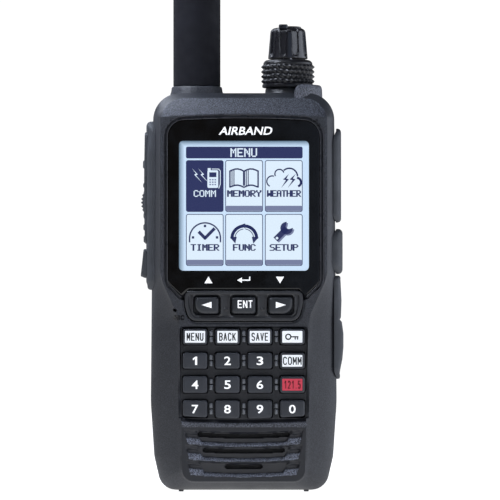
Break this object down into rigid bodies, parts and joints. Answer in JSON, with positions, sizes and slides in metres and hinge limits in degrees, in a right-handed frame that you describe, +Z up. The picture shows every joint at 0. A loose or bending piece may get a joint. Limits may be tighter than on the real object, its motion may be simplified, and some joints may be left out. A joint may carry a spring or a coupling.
{
  "type": "handheld aviation radio",
  "caption": "Handheld airband transceiver with a colour display, number keys, two stacked top controls, a rubber antenna, a rear battery pack and a sprung belt clip.",
  "frame": {"origin": "on the surface the radio stands on, under the middle of its width and depth", "axes": "+Z up along the antenna, display and keys facing -Y, +X to the right seen from the front"},
  "size_m": [0.0677, 0.0457, 0.305],
  "materials": {
    "case_plastic": "fine-textured moulded polycarbonate",
    "window_glass": "polished black acrylic window",
    "lcd_screen": "backlit display behind the window",
    "gloss_trim": "satin moulded plastic",
    "silicone": "moulded silicone sheet",
    "key_plastic": "matte hard-coated rubber",
    "board": "solder-masked circuit board",
    "steel": "plated steel",
    "speaker_black": "moulded plastic",
    "speaker_cloth": "woven acoustic mesh",
    "brass": "plated brass",
    "antenna_rubber": "smooth matte moulded rubber",
    "knob_plastic": "satin-gloss black plastic",
    "side_rubber": "matte elastomer",
    "cell_wrap": "shrink-wrapped cell",
    "hardware_plastic": "moulded nylon"
  },
  "bodies": {
    "radio_body": {"front_case": "case_plastic", "rear_case": "case_plastic", "display_window": "window_glass", "lcd_module": "lcd_screen", "nav_bezel": "gloss_trim", "keypad_mat": "silicone", "main_board": "board", "side_switches": "board", "rf_shield": "steel", "clip_spring": "steel", "case_screw_1": "steel", "case_screw_2": "steel", "clip_screw_1": "steel", "clip_screw_2": "steel", "clip_pin": "steel", "dual_encoder": "steel", "microphone": "steel", "speaker": "speaker_black", "mic_sp_jack": "speaker_black", "dc_jack": "speaker_black", "speaker_mesh": "speaker_cloth", "antenna_jack": "brass", "antenna_insert": "brass", "antenna_sleeve": "antenna_rubber", "left_key_frame": "side_rubber", "side_grip": "side_rubber", "clip_bracket": "hardware_plastic"},
    "key_menu": {"key_menu": "key_plastic"},
    "key_back": {"key_back": "key_plastic"},
    "key_save": {"key_save": "key_plastic"},
    "key_lock": {"key_lock": "key_plastic"},
    "key_1": {"key_1": "key_plastic"},
    "key_2": {"key_2": "key_plastic"},
    "key_3": {"key_3": "key_plastic"},
    "key_comm": {"key_comm": "key_plastic"},
    "key_4": {"key_4": "key_plastic"},
    "key_5": {"key_5": "key_plastic"},
    "key_6": {"key_6": "key_plastic"},
    "key_emergency": {"key_emergency": "key_plastic"},
    "key_7": {"key_7": "key_plastic"},
    "key_8": {"key_8": "key_plastic"},
    "key_9": {"key_9": "key_plastic"},
    "key_0": {"key_0": "key_plastic"},
    "key_left": {"key_left": "key_plastic"},
    "key_enter": {"key_enter": "key_plastic"},
    "key_right": {"key_right": "key_plastic"},
    "ptt": {"ptt_button": "side_rubber"},
    "monitor": {"monitor_button": "side_rubber"},
    "volume_control": {"volume_ring": "knob_plastic", "volume_shaft": "steel"},
    "selector_control": {"selector_knob": "knob_plastic", "selector_shaft": "steel"},
    "mic_sp_cover": {"mic_sp_flap": "side_rubber"},
    "dc_cover": {"dc_flap": "side_rubber"},
    "battery_pack": {"battery_case": "case_plastic", "battery_lid": "case_plastic", "battery_cell_lower": "cell_wrap", "battery_cell_upper": "cell_wrap"},
    "latch": {"battery_latch": "hardware_plastic"},
    "belt_clip": {"clip_tongue": "hardware_plastic"}
  },
  "joints": [
    {"name": "key_menu_press", "type": "slide", "parent": "radio_body", "child": "key_menu", "axis": [0, 1, 0], "range_m": [0, 0.0005], "stiffness_N_per_m": 400},
    {"name": "key_back_press", "type": "slide", "parent": "radio_body", "child": "key_back", "axis": [0, 1, 0], "range_m": [0, 0.0005], "stiffness_N_per_m": 400},
    {"name": "key_save_press", "type": "slide", "parent": "radio_body", "child": "key_save", "axis": [0, 1, 0], "range_m": [0, 0.0005], "stiffness_N_per_m": 400},
    {"name": "key_lock_press", "type": "slide", "parent": "radio_body", "child": "key_lock", "axis": [0, 1, 0], "range_m": [0, 0.0005], "stiffness_N_per_m": 400},
    {"name": "key_1_press", "type": "slide", "parent": "radio_body", "child": "key_1", "axis": [0, 1, 0], "range_m": [0, 0.0005], "stiffness_N_per_m": 400},
    {"name": "key_2_press", "type": "slide", "parent": "radio_body", "child": "key_2", "axis": [0, 1, 0], "range_m": [0, 0.0005], "stiffness_N_per_m": 400},
    {"name": "key_3_press", "type": "slide", "parent": "radio_body", "child": "key_3", "axis": [0, 1, 0], "range_m": [0, 0.0005], "stiffness_N_per_m": 400},
    {"name": "key_comm_press", "type": "slide", "parent": "radio_body", "child": "key_comm", "axis": [0, 1, 0], "range_m": [0, 0.0005], "stiffness_N_per_m": 400},
    {"name": "key_4_press", "type": "slide", "parent": "radio_body", "child": "key_4", "axis": [0, 1, 0], "range_m": [0, 0.0005], "stiffness_N_per_m": 400},
    {"name": "key_5_press", "type": "slide", "parent": "radio_body", "child": "key_5", "axis": [0, 1, 0], "range_m": [0, 0.0005], "stiffness_N_per_m": 400},
    {"name": "key_6_press", "type": "slide", "parent": "radio_body", "child": "key_6", "axis": [0, 1, 0], "range_m": [0, 0.0005], "stiffness_N_per_m": 400},
    {"name": "key_emergency_press", "type": "slide", "parent": "radio_body", "child": "key_emergency", "axis": [0, 1, 0], "range_m": [0, 0.0005], "stiffness_N_per_m": 400},
    {"name": "key_7_press", "type": "slide", "parent": "radio_body", "child": "key_7", "axis": [0, 1, 0], "range_m": [0, 0.0005], "stiffness_N_per_m": 400},
    {"name": "key_8_press", "type": "slide", "parent": "radio_body", "child": "key_8", "axis": [0, 1, 0], "range_m": [0, 0.0005], "stiffness_N_per_m": 400},
    {"name": "key_9_press", "type": "slide", "parent": "radio_body", "child": "key_9", "axis": [0, 1, 0], "range_m": [0, 0.0005], "stiffness_N_per_m": 400},
    {"name": "key_0_press", "type": "slide", "parent": "radio_body", "child": "key_0", "axis": [0, 1, 0], "range_m": [0, 0.0005], "stiffness_N_per_m": 400},
    {"name": "key_left_press", "type": "slide", "parent": "radio_body", "child": "key_left", "axis": [0, 1, 0], "range_m": [0, 0.0005], "stiffness_N_per_m": 400},
    {"name": "key_enter_press", "type": "slide", "parent": "radio_body", "child": "key_enter", "axis": [0, 1, 0], "range_m": [0, 0.0005], "stiffness_N_per_m": 400},
    {"name": "key_right_press", "type": "slide", "parent": "radio_body", "child": "key_right", "axis": [0, 1, 0], "range_m": [0, 0.0005], "stiffness_N_per_m": 400},
    {"name": "ptt_press", "type": "slide", "parent": "radio_body", "child": "ptt", "axis": [1, 0, 0], "range_m": [0, 0.001], "stiffness_N_per_m": 800},
    {"name": "monitor_press", "type": "slide", "parent": "radio_body", "child": "monitor", "axis": [1, 0, 0], "range_m": [0, 0.0008], "stiffness_N_per_m": 600},
    {"name": "volume_turn", "type": "hinge", "parent": "radio_body", "child": "volume_control", "pos_m": [0.0149, -0.0059, 0.14], "axis": [0, 0, -1], "range_deg": [0, 270]},
    {"name": "selector_turn", "type": "hinge", "parent": "radio_body", "child": "selector_control", "pos_m": [0.0149, -0.0059, 0.15], "axis": [0, 0, -1], "continuous": true},
    {"name": "mic_sp_cover_hinge", "type": "hinge", "parent": "radio_body", "child": "mic_sp_cover", "pos_m": [0.0313, -0.0052, 0.106], "axis": [0, 0, 1], "range_deg": [0, 95], "stiffness_Nm_per_rad": 0.001},
    {"name": "dc_cover_hinge", "type": "hinge", "parent": "radio_body", "child": "dc_cover", "pos_m": [0.0313, -0.0052, 0.0805], "axis": [0, 0, 1], "range_deg": [0, 95], "stiffness_Nm_per_rad": 0.001},
    {"name": "battery_tilt", "type": "hinge", "parent": "radio_body", "child": "battery_pack", "pos_m": [0, 0.0118, 0.1042], "axis": [1, 0, 0], "range_deg": [0, 8]},
    {"name": "latch_slide", "type": "slide", "parent": "radio_body", "child": "latch", "axis": [0, -1, 0], "range_m": [0, 0.0024], "stiffness_N_per_m": 500},
    {"name": "belt_clip_hinge", "type": "hinge", "parent": "radio_body", "child": "belt_clip", "pos_m": [0, 0.0186, 0.1225], "axis": [1, 0, 0], "range_deg": [0, 22], "stiffness_Nm_per_rad": 0.5, "springref_deg": -14.32}
  ]
}
